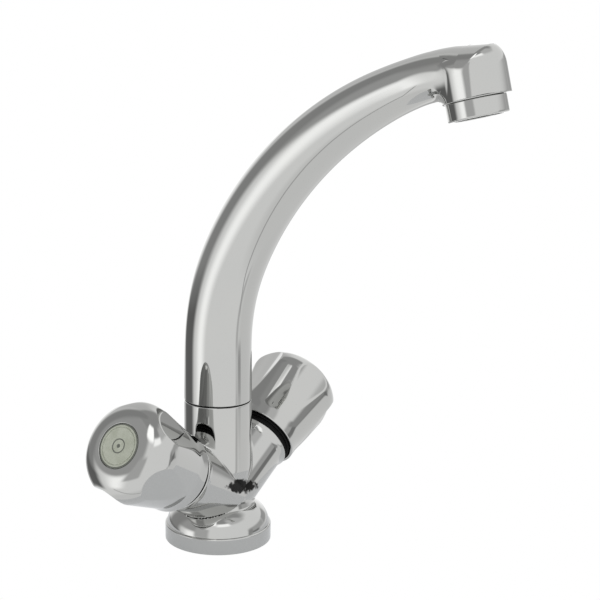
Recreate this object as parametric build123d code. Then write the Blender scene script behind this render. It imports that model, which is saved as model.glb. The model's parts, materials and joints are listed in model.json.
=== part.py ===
from build123d import *
from math import cos, pi, radians, sin, sqrt
import os

# Swivel spout basin mixer, in millimetres. The origin is the middle of the flange's underside, +Z is up,
# the two arms lie along X with hot at -X, and the spout points to -Y, towards the user.

# Clearances
running_gap = 0.1        # shaft or spigot in its bore, on the radius
thread_gap = 0.05        # plain cylinders that stand for screw threads, on the radius
seat_gap = 0.05          # seals and rings in their grooves

# Flange, bell and column of the body
flange_radius = 26.3
flange_height = 8.0
flange_edge = 0.9
bell_top_radius = 17.4
bell_top_height = 18.1
bell_bulge = 1.8
column_radius = 16.5
column_top = 70.7
neck_height = 3.0

# Arms
cross_height = 22.4      # where the arms' axes meet the column's axis
arm_angle = 59.5         # from the vertical
arm_radius = 16.4
arm_flare = 32.5         # distance along the arm where its end starts to flare
arm_end_radius = 17.7
arm_end = 37.2
arm_mitre = 16.0         # how far each arm runs past the crossing before both are cut on the middle plane
arm_edge = 0.6

# Waterways in the body
inlet_radius = 4.5       # M10 x 1 socket
inlet_offset = 9.5
inlet_depth = 14.0
feed_radius = 4.0
feed_top = 28.4
seat_bore_radius = 5.0
seat_bore_start = 10.0
seat_lip_radius = 6.3
seat_lip = 17.0          # distance of the seat's lip along the arm
chamber_radius = 9.2
chamber_floor = 15.0
chamber_top = 22.0
arm_thread_radius = 10.45
port_radius = 2.4
port_bottom = 37.0
stud_radius = 3.4        # M8 socket
stud_offset = 13.5
stud_depth = 14.0

# Base seal
base_seal_inner = 22.0
base_seal_width = 2.5
base_seal_depth = 1.8

# Swivel joint
spigot_radius = 11.9
spigot_floor = 47.8      # bottom of the column's bore
spigot_end_gap = 1.0
spigot_bore_radius = 8.6
thrust_ring_height = 0.6
thrust_ring_radius = 16.1
spout_ring_heights = (65.3, 59.8)
spout_ring_section = 1.0
groove_side_gap = 0.2
catch_height = 53.3      # retaining groove and screw
catch_groove_depth = 1.6
catch_groove_width = 4.4
catch_screw_radius = 2.45
catch_tip_radius = 1.7
catch_tip_length = 1.6
catch_tip_gap = 0.5
catch_socket_radius = 1.25
catch_socket_depth = 2.5

# Spout tube: straight rise, tight bend, long bend, then level with the head's top
spout_rise = 26.4
low_bend_radius = 104.8
low_bend_angle = 25.9
high_bend_radius = 162.6
high_bend_angle = 53.6
tube_wall = 2.6
collar_height = 5.0
tube_radius_low = 15.8
tube_radius_mid = 13.5
tube_radius_neck = 10.5
neck_back = 23.0         # how far before the end of the long bend the tube is thinnest

# Spout head, about its own axis, with distances up from the outlet's rim
head_lean = 14.0         # of the outlet, forward from straight down
head_radius = 14.0
head_height = 20.5       # rim to the end of the long bend
head_forward = 1.0
cap_height = 11.0        # of the cap's rounded top above its axis
cap_drop = 2.0           # the cap's axis below the end of the long bend
cap_rise = 4.4           # of the cap's axis towards the front, in degrees
cap_length = 16.0
cap_edge = 6.5
head_seam = 7.6
head_thread_radius = 11.6
head_thread_depth = 9.0

# Aerator
aerator_radius = 12.65
aerator_edge = 0.8
aerator_wall = 1.6
aerator_lip = 0.9
aerator_thread_length = 6.0
insert_radius = 9.7
insert_height = 8.5
insert_floor = 1.4
insert_hole_radius = 0.8
insert_hole_pitch = 2.3
insert_recess = 1.2
screen_height = 0.6
screen_hole_radius = 0.45
aerator_washer_height = 1.6
aerator_washer_width = 2.4

# Headwork, with distances along the arm
washer_radius = 6.9
washer_height = 3.0
carrier_flats = 14.0
carrier_length = 11.5
carrier_bore_depth = 9.5
carrier_gap = 0.2
valve_screw_head_radius = 3.4
valve_screw_head = 2.0
valve_screw_radius = 1.9
valve_screw_length = 4.5
headwork_start = 22.6
headwork_seal_height = 1.0
headwork_seal_width = 2.6
headwork_flats = 24.0
headwork_flange = 6.0
headwork_neck_radius = 8.5
headwork_neck_end = 56.2
valve_lift = 3.6         # in two turns of the knob
guide_spare = 0.5
spindle_thread_radius = 4.4
spindle_start = 26.0
spindle_collar_radius = 6.6
spindle_collar_start = 42.2
spindle_collar_end = 44.2
spindle_radius = 5.0
spindle_ring_places = (48.2, 52.2)
spindle_ring_section = 0.75
clip_height = 1.0
clip_radius = 7.4
clip_groove_radius = 4.3
clip_opening = 5.0
spline_radius = 4.0
spline_depth = 0.3
spline_teeth = 20
spline_end = 71.2

# Black ring between arm and knob
ring_bore_gap = 0.3
ring_radius = 16.2
ring_flange_radius = 17.5
ring_flange_start = 40.1
ring_end = 42.2

# Knob
skirt_end = 40.9
skirt_radius = 19.4
skirt_straight = 5.5
skirt_wall = 1.4
rim_radius = 24.1
rim_place = 75.3
face_place = 86.5
face_radius = 12.2
hollow_count = 5
hollow_radius = 29.0     # of the round cutter
hollow_low = 20.5        # distance of the hollow's bottom from the axis, at its foot
hollow_low_place = 51.4
hollow_high = 21.0       # and level with the face
cavity_straight_end = 52.2
cavity_high_radius = 14.6
cavity_high_place = 73.0
cavity_top = 75.0
hub_radius = 9.2
hub_start = 58.2
hub_web_start = 71.5
hub_web = 3.0
insert_outer_radius = 6.4
knob_screw_radius = 2.4
knob_screw_head_radius = 4.4
knob_screw_head = 2.6
knob_screw_length = 13.5
knob_screw_hole = 2.8
screw_recess_radius = 6.0
face_bulge = 2.9
rim_edge = 4.0
hot_turn = 5.6           # how far each knob's first hollow is turned round its axis from +Y
cold_turn = -0.3

# Index disc
disc_radius = 10.5
disc_height = 1.8
disc_gap = 0.15
disc_boss_radius = 5.8
disc_boss_wall = 1.2
disc_boss_length = 4.0
disc_groove_radius = 9.0
disc_groove_width = 0.5
disc_groove_depth = 0.3


guide_end = seat_lip + washer_height + carrier_length + valve_lift + guide_spare


def turned(*corners):
    """Solid of revolution about Z through (radius, height) corners."""
    return revolve(Plane.XZ * make_face(Polyline(*corners, close=True)), Axis.Z)


def rod(radius, bottom, top):
    """Upright cylinder between two heights."""
    return Pos(0, 0, bottom) * Cylinder(radius, top - bottom, align=(Align.CENTER, Align.CENTER, Align.MIN))


def tube(outer, inner, bottom, top):
    """Upright ring between two heights."""
    return rod(outer, bottom, top) - rod(inner, bottom, top)


def hex_rod(flats, bottom, top):
    """Upright six-sided bar between two heights."""
    return Pos(0, 0, bottom) * extrude(RegularPolygon(flats / 2, 6, major_radius=False), top - bottom)


def star_rod(tip, root, teeth, bottom, top):
    """Upright splined bar between two heights."""
    corners = []
    for index in range(2 * teeth):
        reach = tip if index % 2 == 0 else root
        angle = pi * index / teeth
        corners.append((reach * cos(angle), reach * sin(angle)))
    return Pos(0, 0, bottom) * extrude(make_face(Polyline(*corners, close=True)), top - bottom)


def arm_frame(side):
    """Frame at the crossing of the axes, with Z out along the hot (-1) or cold (+1) arm."""
    lean = radians(arm_angle)
    return Plane(origin=(0, 0, cross_height), x_dir=(0, 1, 0), z_dir=(side * sin(lean), 0, cos(lean)))


def body_casting():
    """Flange, bell, column and arms in one casting, with its waterways and sockets."""
    outline = [
        Line((0, 0), (flange_radius, 0)),
        Line((flange_radius, 0), (flange_radius, flange_height - flange_edge)),
        RadiusArc(
            (flange_radius, flange_height - flange_edge), (flange_radius - flange_edge, flange_height), -flange_edge
        ),
        SagittaArc(
            (flange_radius - flange_edge, flange_height), (bell_top_radius, bell_top_height), -bell_bulge
        ),
        Line((bell_top_radius, bell_top_height), (column_radius, bell_top_height + neck_height)),
        Line((column_radius, bell_top_height + neck_height), (column_radius, column_top)),
        Line((column_radius, column_top), (0, column_top)),
        Line((0, column_top), (0, 0)),
    ]
    body = revolve(Plane.XZ * make_face(outline), Axis.Z)
    half_space = 2 * arm_end
    for side in (-1, 1):
        arm = turned(
            (0, -arm_mitre), (arm_radius, -arm_mitre), (arm_radius, arm_flare),
            (arm_end_radius, arm_end - arm_edge), (arm_end_radius - arm_edge, arm_end), (0, arm_end)
        )
        half = Pos(side * half_space / 2, 0, half_space / 2) * Box(half_space, half_space, half_space)
        body += (arm_frame(side) * arm) & half
    for side in (-1, 1):
        frame = arm_frame(side)
        body -= frame * rod(arm_thread_radius, chamber_top, arm_end + 1)
        body -= frame * tube(chamber_radius, seat_lip_radius, chamber_floor, seat_lip)
        body -= frame * rod(chamber_radius, seat_lip, chamber_top)
        body -= frame * rod(seat_bore_radius, seat_bore_start, seat_lip)
        body -= Pos(side * inlet_offset, 0, 0) * rod(inlet_radius, 0, inlet_depth)
        body -= Pos(side * inlet_offset, 0, 0) * rod(feed_radius, 0, feed_top)
        body -= Pos(side * inlet_offset, 0, 0) * rod(port_radius, port_bottom, spigot_floor)
    body -= rod(spigot_radius + running_gap, spigot_floor, column_top)
    body -= Pos(0, stud_offset, 0) * rod(stud_radius, 0, stud_depth)
    body -= tube(base_seal_inner + base_seal_width, base_seal_inner, 0, base_seal_depth)
    body -= catch_screw_frame() * rod(catch_screw_radius + thread_gap, 0, column_radius + 1)
    return body


def base_seal():
    """Flat rubber ring in the groove under the flange."""
    return tube(
        base_seal_inner + base_seal_width - seat_gap, base_seal_inner + seat_gap, 0, base_seal_depth
    )


def catch_screw_frame():
    """Frame on the column's axis with Z out through its back, level with the retaining groove."""
    return Plane(origin=(0, 0, catch_height), x_dir=(1, 0, 0), z_dir=(0, 1, 0))


def retaining_screw():
    """Socket set screw whose tip runs in the spigot's groove."""
    groove_floor = spigot_radius - catch_groove_depth
    tip = groove_floor + catch_tip_gap
    shoulder = tip + catch_tip_length
    end = column_radius - catch_tip_gap
    screw = rod(catch_tip_radius, tip, shoulder) + rod(catch_screw_radius, shoulder, end)
    socket = Pos(0, 0, end - catch_socket_depth) * extrude(
        RegularPolygon(catch_socket_radius, 6, major_radius=False), catch_socket_depth
    )
    return catch_screw_frame() * (screw - socket)


def thrust_ring():
    """Thin dark ring that the spout turns on."""
    return tube(thrust_ring_radius, spigot_radius + running_gap, column_top, column_top + thrust_ring_height)


spout_foot = column_top + thrust_ring_height
bend_start = spout_foot + spout_rise
low_centre_y = -low_bend_radius
low_end_y = low_centre_y + low_bend_radius * cos(radians(low_bend_angle))
low_end_z = bend_start + low_bend_radius * sin(radians(low_bend_angle))
high_centre_y = low_end_y - high_bend_radius * cos(radians(low_bend_angle))
high_centre_z = low_end_z - high_bend_radius * sin(radians(low_bend_angle))
high_length = high_bend_radius * radians(high_bend_angle)
low_length = low_bend_radius * radians(low_bend_angle)


def spout_frame(distance):
    """Frame square to the tube's centre line at a distance along it from the collar's foot."""
    if distance <= spout_rise:
        place = (0, 0, spout_foot + distance)
        lean = 0.0
    elif distance <= spout_rise + low_length:
        lean = (distance - spout_rise) / low_bend_radius
        place = (0, low_centre_y + low_bend_radius * cos(lean), bend_start + low_bend_radius * sin(lean))
    else:
        past = min(distance - spout_rise - low_length, high_length)
        lean = radians(low_bend_angle) + past / high_bend_radius
        beyond = distance - spout_rise - low_length - past
        place = (
            0,
            high_centre_y + high_bend_radius * cos(lean) - beyond * sin(lean),
            high_centre_z + high_bend_radius * sin(lean) + beyond * cos(lean),
        )
    return Plane(origin=place, x_dir=(1, 0, 0), z_dir=(0, -sin(lean), cos(lean)))


spout_length = spout_rise + low_length + high_length
neck_distance = spout_length - neck_back


def tube_radius(distance):
    """Outer radius of the tube, which thins towards the head and swells a little into it."""
    places = (
        (collar_height, column_radius),
        (spout_rise + low_length, tube_radius_low),
        (spout_rise + low_length + high_length / 2, tube_radius_mid),
        (neck_distance, tube_radius_neck),
        (spout_length, head_radius),
    )
    if distance <= places[0][0]:
        return places[0][1]
    for (start, first), (end, last) in zip(places, places[1:]):
        if distance <= end:
            return first + (last - first) * (distance - start) / (end - start)
    return places[-1][1]


def tube_stations():
    """Distances along the tube where its round sections stand."""
    low = spout_rise + low_length
    middle = low + high_length / 2
    return (
        collar_height, spout_rise, spout_rise + low_length / 2, low, (low + middle) / 2, middle,
        (middle + neck_distance) / 2, neck_distance
    )


def tube_loft(wall):
    """Tapered bent tube, a wall's thickness inside its outer surface."""
    sections = []
    for distance in tube_stations():
        sections.append(spout_frame(distance) * Circle(tube_radius(distance) - wall))
    sections.append(cap_frame() * Ellipse(head_radius - wall, cap_height - wall))
    return loft(sections)


def cap_frame():
    """Frame at the head's middle with Z forward along the axis of its rounded top."""
    lean = radians(cap_rise)
    place = spout_frame(spout_length).origin - Vector(0, 0, cap_drop)
    return Plane(origin=place, x_dir=(1, 0, 0), z_dir=(0, -cos(lean), sin(lean)))


def head_frame():
    """Frame at the outlet's rim, with Z up along the outlet's axis."""
    lean = radians(head_lean)
    end = spout_frame(spout_length).origin
    down = Vector(0, -sin(lean), -cos(lean))
    return Plane(origin=end + down * head_height, x_dir=(1, 0, 0), z_dir=(0, sin(lean), cos(lean)))


def spout_casting():
    """Spigot, collar, bent tube and head in one casting."""
    frame = head_frame()
    barrel = frame * Pos(0, -head_forward, 0) * rod(head_radius, head_seam, head_height + 2 * head_radius)
    cap_axis = cap_frame()
    cap = extrude(Ellipse(head_radius, cap_height), cap_length)
    cap_top = cap_axis * fillet(cap.edges().group_by(Axis.Z)[-1], cap_edge)
    below = cap_axis * Pos(0, -2 * head_radius, 0) * Box(4 * head_radius, 4 * head_radius, 4 * head_radius)
    spout = rod(column_radius, spout_foot, spout_foot + collar_height) + tube_loft(0)
    spout -= frame * rod(2 * head_radius, -head_radius, head_seam)
    spout += (barrel & cap_top) + (barrel & below)
    spout += rod(spigot_radius, spigot_floor + spigot_end_gap, spout_foot)
    spout -= rod(spigot_bore_radius, spigot_floor, spout_foot + collar_height)
    spout -= tube_loft(tube_wall)
    spout -= frame * rod(head_thread_radius, 0, head_seam + head_thread_depth)
    for height in spout_ring_heights:
        spout -= spigot_groove(height, 2 * spout_ring_section, 2 * spout_ring_section + 2 * groove_side_gap)
    spout -= spigot_groove(catch_height, catch_groove_depth, catch_groove_width)
    return spout


def spigot_groove(height, depth, width):
    """Ring cut from the spigot's outside."""
    return tube(spigot_radius + 1, spigot_radius - depth, height - width / 2, height + width / 2)


def spout_seal_rings():
    """The two O-rings on the spigot."""
    middle = spigot_radius - spout_ring_section + seat_gap
    return [Pos(0, 0, height) * Torus(middle, spout_ring_section) for height in spout_ring_heights]


def aerator_housing():
    """Screwed outlet ring with a lip that holds the insert."""
    bore = aerator_radius - aerator_wall
    thread = head_thread_radius - thread_gap
    housing = turned(
        (bore - aerator_lip, 0), (aerator_radius - aerator_edge, 0), (aerator_radius, aerator_edge),
        (aerator_radius, head_seam - seat_gap * 2), (thread, head_seam - seat_gap * 2),
        (thread, head_seam + aerator_thread_length), (insert_radius + seat_gap, head_seam + aerator_thread_length),
        (insert_radius + seat_gap, aerator_edge + insert_recess), (bore - aerator_lip, aerator_edge + insert_recess)
    )
    return housing


def hole_grid(pitch, limit):
    """Centres of a three-way grid of holes inside a circle."""
    centres = []
    rows = int(limit / pitch) + 1
    for row in range(-rows, rows + 1):
        for column in range(-rows, rows + 1):
            place = ((column + (row % 2) / 2) * pitch, row * pitch * sqrt(3) / 2)
            if sqrt(place[0] ** 2 + place[1] ** 2) <= limit:
                centres.append(place)
    return centres


def aerator_insert():
    """Plastic cup with a holed floor that mixes air into the water."""
    floor = aerator_edge + insert_recess
    cup = rod(insert_radius, floor, floor + insert_height)
    cup -= rod(insert_radius - aerator_wall, floor + insert_floor, floor + insert_height)
    holes = [Pos(x, y) * Circle(insert_hole_radius) for x, y in hole_grid(insert_hole_pitch, insert_radius - 2.4)]
    return cup - Pos(0, 0, floor) * extrude(Sketch() + holes, insert_floor)


def aerator_screen():
    """Round sieve that lies on the insert."""
    bottom = aerator_edge + insert_recess + insert_height
    plate = rod(insert_radius - seat_gap, bottom, bottom + screen_height)
    holes = [Pos(x, y) * Circle(screen_hole_radius) for x, y in hole_grid(insert_hole_pitch, insert_radius - 2.4)]
    return plate - Pos(0, 0, bottom) * extrude(Sketch() + holes, screen_height)


def aerator_washer():
    """Rubber ring between the aerator and the head."""
    bottom = head_seam + aerator_thread_length
    outer = head_thread_radius - seat_gap
    return tube(outer, outer - aerator_washer_width, bottom, bottom + aerator_washer_height)


def headwork_body():
    """Brass headwork screwed into the arm: nose, flange, neck and the carrier's guide."""
    flange_start = arm_end + headwork_seal_height
    flange_end = flange_start + headwork_flange
    headwork = rod(arm_thread_radius - thread_gap, headwork_start, flange_start)
    headwork += hex_rod(headwork_flats, flange_start, flange_end)
    headwork += rod(headwork_neck_radius, flange_end, headwork_neck_end)
    headwork -= hex_rod(carrier_flats + 2 * carrier_gap, headwork_start, guide_end)
    headwork -= rod(spindle_collar_radius + running_gap, guide_end, spindle_collar_end + running_gap)
    headwork -= rod(spindle_radius + running_gap, spindle_collar_end, headwork_neck_end)
    return headwork


def headwork_seal():
    """Flat washer between the headwork's flange and the arm."""
    inner = arm_thread_radius + seat_gap
    return tube(inner + headwork_seal_width, inner, arm_end, arm_end + headwork_seal_height)


def skirt_ring():
    """Black ring round the headwork that closes the knob's open end."""
    bore = headwork_flats / sqrt(3) + ring_bore_gap
    return turned(
        (bore, arm_end), (ring_radius, arm_end), (ring_radius, ring_flange_start),
        (ring_flange_radius, ring_flange_start), (ring_flange_radius, ring_end), (bore, ring_end)
    )


def valve_carrier():
    """Six-sided nut that can't turn, moved along the arm by the spindle's thread."""
    bottom = seat_lip + washer_height
    carrier = hex_rod(carrier_flats, bottom, bottom + carrier_length)
    carrier -= rod(
        spindle_thread_radius + thread_gap, bottom + carrier_length - carrier_bore_depth, bottom + carrier_length
    )
    return carrier - rod(valve_screw_radius + thread_gap, bottom, bottom + carrier_length)


def valve_washer():
    """Rubber disc that shuts on the seat."""
    return tube(washer_radius, valve_screw_radius + thread_gap, seat_lip, seat_lip + washer_height)


def valve_screw():
    """Screw that holds the washer on the carrier."""
    end = seat_lip + valve_screw_length
    head = rod(valve_screw_head_radius, seat_lip - valve_screw_head, seat_lip)
    return head + rod(valve_screw_radius, seat_lip, end)


def spindle():
    """Spindle that turns without rising, with its thread, collar, seal grooves and spline."""
    shaft = rod(spindle_thread_radius, spindle_start, spindle_collar_start)
    shaft += rod(spindle_collar_radius, spindle_collar_start, spindle_collar_end)
    clip_top = headwork_neck_end + clip_height + running_gap
    shaft += rod(spindle_radius, spindle_collar_end, clip_top + clip_height / 2)
    shaft += star_rod(spline_radius, spline_radius - spline_depth, spline_teeth, clip_top, spline_end)
    for place in spindle_ring_places:
        shaft -= tube(
            spindle_radius + 1, spindle_radius - 2 * spindle_ring_section,
            place - spindle_ring_section - groove_side_gap, place + spindle_ring_section + groove_side_gap
        )
    shaft -= tube(spindle_radius + 1, clip_groove_radius, headwork_neck_end, clip_top)
    shaft -= rod(knob_screw_radius + thread_gap, screw_tip() - 1, spline_end)
    return shaft


def spindle_seal_rings():
    """The two O-rings on the spindle."""
    middle = spindle_radius - spindle_ring_section
    section = spindle_ring_section - seat_gap
    return [Pos(0, 0, place) * Torus(middle, section) for place in spindle_ring_places]


def spindle_clip():
    """Open spring ring that keeps the spindle in the headwork."""
    bottom = headwork_neck_end + running_gap
    clip = tube(clip_radius, clip_groove_radius + seat_gap, bottom, bottom + clip_height - seat_gap)
    gap = Pos(clip_radius, 0, bottom) * Box(2 * clip_radius, clip_opening, 3 * clip_height)
    return clip - gap


def screw_tip():
    """Place of the knob screw's end."""
    return hub_web_start + hub_web - knob_screw_length


def spline_insert():
    """Plastic bush that carries the knob on the spindle's spline."""
    bore = star_rod(
        spline_radius + thread_gap, spline_radius - spline_depth + thread_gap, spline_teeth, hub_start, hub_web_start
    )
    return rod(insert_outer_radius, hub_start, hub_web_start) - bore


def knob():
    """Flared knob with wide hollows, a skirt, a hub and a seat for the index disc."""
    start = (skirt_radius, skirt_end)
    skirt_top = (skirt_radius, skirt_end + skirt_straight)
    rim = (rim_radius, rim_place)
    outline = [
        Line((0, skirt_end), start),
        Line(start, skirt_top),
        Line(skirt_top, rim),
        SagittaArc(rim, (face_radius, face_place), -face_bulge),
        Line((face_radius, face_place), (0, face_place)),
        Line((0, face_place), (0, skirt_end)),
    ]
    section = make_face(outline)
    section = fillet(section.vertices().sort_by(Axis.X)[-1], rim_edge)
    shape = revolve(Plane.XZ * section, Axis.Z)
    lean = (hollow_low - hollow_high) / (face_place - hollow_low_place)
    for index in range(hollow_count):
        foot = Vector(hollow_low + hollow_radius, 0, hollow_low_place)
        cutter = Plane(origin=foot, x_dir=(0, 1, 0), z_dir=(-lean, 0, 1)) * Cylinder(hollow_radius, 4 * face_place)
        shape -= Rot(0, 0, 360 * index / hollow_count) * cutter
    cavity = turned(
        (0, skirt_end), (skirt_radius - skirt_wall, skirt_end), (skirt_radius - skirt_wall, cavity_straight_end),
        (cavity_high_radius, cavity_high_place), (hub_radius, cavity_top), (hub_radius, hub_start), (0, hub_start)
    )
    shape -= cavity
    shape -= rod(insert_outer_radius + seat_gap, hub_start, hub_web_start)
    shape -= rod(knob_screw_hole, hub_web_start, face_place)
    shape -= rod(screw_recess_radius, hub_web_start + hub_web, face_place)
    shape -= rod(disc_radius + disc_gap, face_place - disc_height, face_place)
    return shape


def knob_screw():
    """Cheese-head screw down the middle of the knob."""
    seat = hub_web_start + hub_web
    screw = rod(knob_screw_radius, screw_tip(), seat) + rod(knob_screw_head_radius, seat, seat + knob_screw_head)
    slot = Pos(0, 0, seat + knob_screw_head) * Box(2 * knob_screw_head_radius, 1, knob_screw_head)
    return screw - slot


def index_disc():
    """Snap-in disc over the knob screw, with a fine ring near its edge and nothing else on it."""
    bottom = face_place - disc_height
    disc = rod(disc_radius, bottom, face_place)
    disc += tube(disc_boss_radius, disc_boss_radius - disc_boss_wall, bottom - disc_boss_length, bottom)
    groove = tube(
        disc_groove_radius, disc_groove_radius - disc_groove_width, face_place - disc_groove_depth, face_place
    )
    return disc - groove


def save(name, shape):
    """Write one piece, or a group of like pieces, as a STEP file."""
    if isinstance(shape, list):
        shape = Compound(children=shape)
    export_step(shape, "parts/" + name + ".step")


def place(frame, shape):
    """Move a piece, or each piece of a group, into a frame."""
    if isinstance(shape, list):
        return [frame * piece for piece in shape]
    return frame * shape


def save_arm(name, side, turn):
    """Write the pieces of one arm: headwork, valve, ring and knob."""
    frame = arm_frame(side)
    fixed = {
        "headwork_body": headwork_body(),
        "headwork_seal": headwork_seal(),
        "skirt_ring": skirt_ring(),
        "valve_carrier": valve_carrier(),
        "valve_washer": valve_washer(),
        "valve_screw": valve_screw(),
    }
    turning = {
        "spindle": spindle(),
        "spindle_seal_rings": spindle_seal_rings(),
        "spindle_clip": spindle_clip(),
        "spline_insert": spline_insert(),
        "knob": knob(),
        "knob_screw": knob_screw(),
        "index_disc": index_disc(),
    }
    for piece, shape in fixed.items():
        save(name + "_" + piece, place(frame, shape))
    for piece, shape in turning.items():
        save(name + "_" + piece, place(frame * Rot(0, 0, turn), shape))


os.makedirs("parts", exist_ok=True)
save("body_casting", body_casting())
save("base_seal", base_seal())
save("spout_retaining_screw", retaining_screw())
save("spout_thrust_ring", thrust_ring())
save("spout_casting", spout_casting())
save("spout_seal_rings", spout_seal_rings())
save("aerator_housing", head_frame() * aerator_housing())
save("aerator_insert", head_frame() * aerator_insert())
save("aerator_screen", head_frame() * aerator_screen())
save("aerator_washer", head_frame() * aerator_washer())
save_arm("hot", -1, hot_turn)
save_arm("cold", 1, cold_turn)
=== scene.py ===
import json
import logging
import math
from collections.abc import Callable
from dataclasses import dataclass, field
from enum import Enum

import bpy
import numpy as np
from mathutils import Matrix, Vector


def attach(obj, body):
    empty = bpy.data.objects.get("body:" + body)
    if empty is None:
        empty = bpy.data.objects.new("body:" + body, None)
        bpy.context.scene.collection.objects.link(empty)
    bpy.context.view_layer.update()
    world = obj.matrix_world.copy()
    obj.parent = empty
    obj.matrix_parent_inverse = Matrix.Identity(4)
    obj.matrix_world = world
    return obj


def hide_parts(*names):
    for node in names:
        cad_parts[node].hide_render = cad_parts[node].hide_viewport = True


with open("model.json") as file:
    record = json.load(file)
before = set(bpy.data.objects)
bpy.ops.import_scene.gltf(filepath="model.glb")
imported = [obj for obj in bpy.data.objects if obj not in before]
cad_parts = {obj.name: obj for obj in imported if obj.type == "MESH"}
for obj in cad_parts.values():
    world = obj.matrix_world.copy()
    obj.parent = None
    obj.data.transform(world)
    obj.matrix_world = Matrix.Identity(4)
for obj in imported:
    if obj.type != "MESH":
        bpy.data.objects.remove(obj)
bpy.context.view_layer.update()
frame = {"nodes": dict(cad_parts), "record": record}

# Looks of a swivel spout basin mixer.
# Sizes are in millimetres, as in the part, and become metres in each mesh.
Grid = np.ndarray
Field = Callable[[Grid], Grid]
Pair = tuple[float, float]
Triple = tuple[float, float, float]
Socket = bpy.types.NodeSocket
Material = bpy.types.Material
MM = 0.001
TURN = 2 * math.pi
WHITE = (1.0, 1.0, 1.0)
log = logging.getLogger("mixer")

# Halvings of a ray's span, points on an arc, and decimals to which points that fall together agree.
HALVINGS = 18
ARC_POINTS = 9
POINT_DECIMALS = 4

# Width of a blend that is to look sharp, and how near to a cut a CAD triangle is left out.
LEAST_WIDTH = 0.02
CLEAR = 0.05

# A fillet stands out by less than its reach. A surface that another form covers dips under it
# by a share of how deep it lies, and by no more than the most.
FILLET_REACH = 2.0
DIP_SPAN = 0.8
DIP_SHARE = 0.25
DIP_MOST = 1.0

# Sockets of the Mix node when it mixes colours.
MIX_FIRST = 6
MIX_SECOND = 7
MIX_RESULT = 2


class Side(Enum):
    """The two arms, hot at -X and cold at +X."""

    HOT = -1
    COLD = 1

    @property
    def word(self) -> str:
        """Its word in the names of nodes and bodies."""
        return self.name.lower()


def smooth_step(share: Grid) -> Grid:
    """Goes from 0 to 1 with level ends: 3 t squared less 2 t cubed."""
    share = np.clip(share, 0, 1)
    return share * share * (3 - 2 * share)


def smooth_min(first: Grid, second: Grid, width: Grid | float) -> Grid:
    """Lesser of two fields, rounded where they differ by less than the width.

    Args:
        first: One signed distance at each point.
        second: The other one.
        width: How wide the rounding is.

    Returns:
        The blended distance, lower than both by a quarter of the width where they are equal.
    """
    share = np.clip(0.5 + 0.5 * (second - first) / width, 0, 1)
    return second + (first - second) * share - width * share * (1 - share)


def smooth_max(first: Grid, second: Grid, width: Grid | float) -> Grid:
    """Greater of two fields, rounded in the same way."""
    return -smooth_min(-first, -second, width)


def unit(vectors: Grid) -> Grid:
    """Vectors divided by their lengths."""
    return vectors / np.maximum(np.linalg.norm(vectors, axis=-1, keepdims=True), 1e-12)


def round_angles(count: int) -> Grid:
    """Equal steps of angle round a full turn."""
    return np.arange(count) * TURN / count


def around(radius: Grid | float, height: Grid | float, angles: Grid) -> Grid:
    """Points about the third axis: radius times cosine, radius times sine, and the height."""
    return np.stack([radius * np.cos(angles), radius * np.sin(angles), height + 0 * angles], axis=-1)


def reach(inside: Field, starts: Grid, directions: Grid, low: Grid | float, span: float) -> Grid:
    """Distance along each ray at which a field turns positive, by halving the span.

    Args:
        inside: Signed distance, negative inside.
        starts: Where the rays start, inside the form.
        directions: Their unit directions.
        low: Least distance looked at.
        span: How much further is looked.

    Returns:
        One distance for each ray.
    """
    near = np.zeros(starts.shape[:-1]) + low
    far = near + span
    for _ in range(HALVINGS):
        middle = (near + far) / 2
        within = inside(starts + directions * middle[..., None]) < 0
        near = np.where(within, middle, near)
        far = np.where(within, far, middle)
    return (near + far) / 2


def slope(inside: Field, points: Grid) -> Grid:
    """Unit gradient of a field: its difference over a tenth of a millimetre along each axis.

    Args:
        inside: Signed distance.
        points: Where the gradient is wanted.

    Returns:
        One unit vector for each point.
    """
    step = 0.05
    parts = []
    for axis in range(3):
        shift = np.zeros(3)
        shift[axis] = step
        parts.append(inside(points + shift) - inside(points - shift))
    return unit(np.stack(parts, axis=-1))


def skin(
    own: Field, other: Field, blend: Field, starts: Grid, directions: Grid, far: float,
) -> tuple[Grid, Grid]:
    """Carries one form's surface out to a blend of two forms, and lets it dip where the other covers it.

    Each ray's length is its length to the form itself, plus the fillet's height, which fades with how
    deep the point lies in the other form, less the dip.

    Args:
        own: Signed distance of the form whose rays these are.
        other: Signed distance of what it joins.
        blend: Signed distance of both together with the fillet.
        starts: Where the rays start, inside the form.
        directions: Their unit directions.
        far: The longest distance looked at.

    Returns:
        The points, and the blend's normals at them.
    """
    plain = reach(own, starts, directions, 0, far)
    full = reach(blend, starts, directions, plain, FILLET_REACH)
    landed = starts + directions * full[..., None]
    past = np.maximum(own(landed) - other(landed), 0)
    dip = np.minimum(DIP_SHARE * past, DIP_MOST)
    length = plain + (full - plain) * np.exp(-past / DIP_SPAN) - dip
    return starts + directions * length[..., None], slope(blend, landed)


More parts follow.
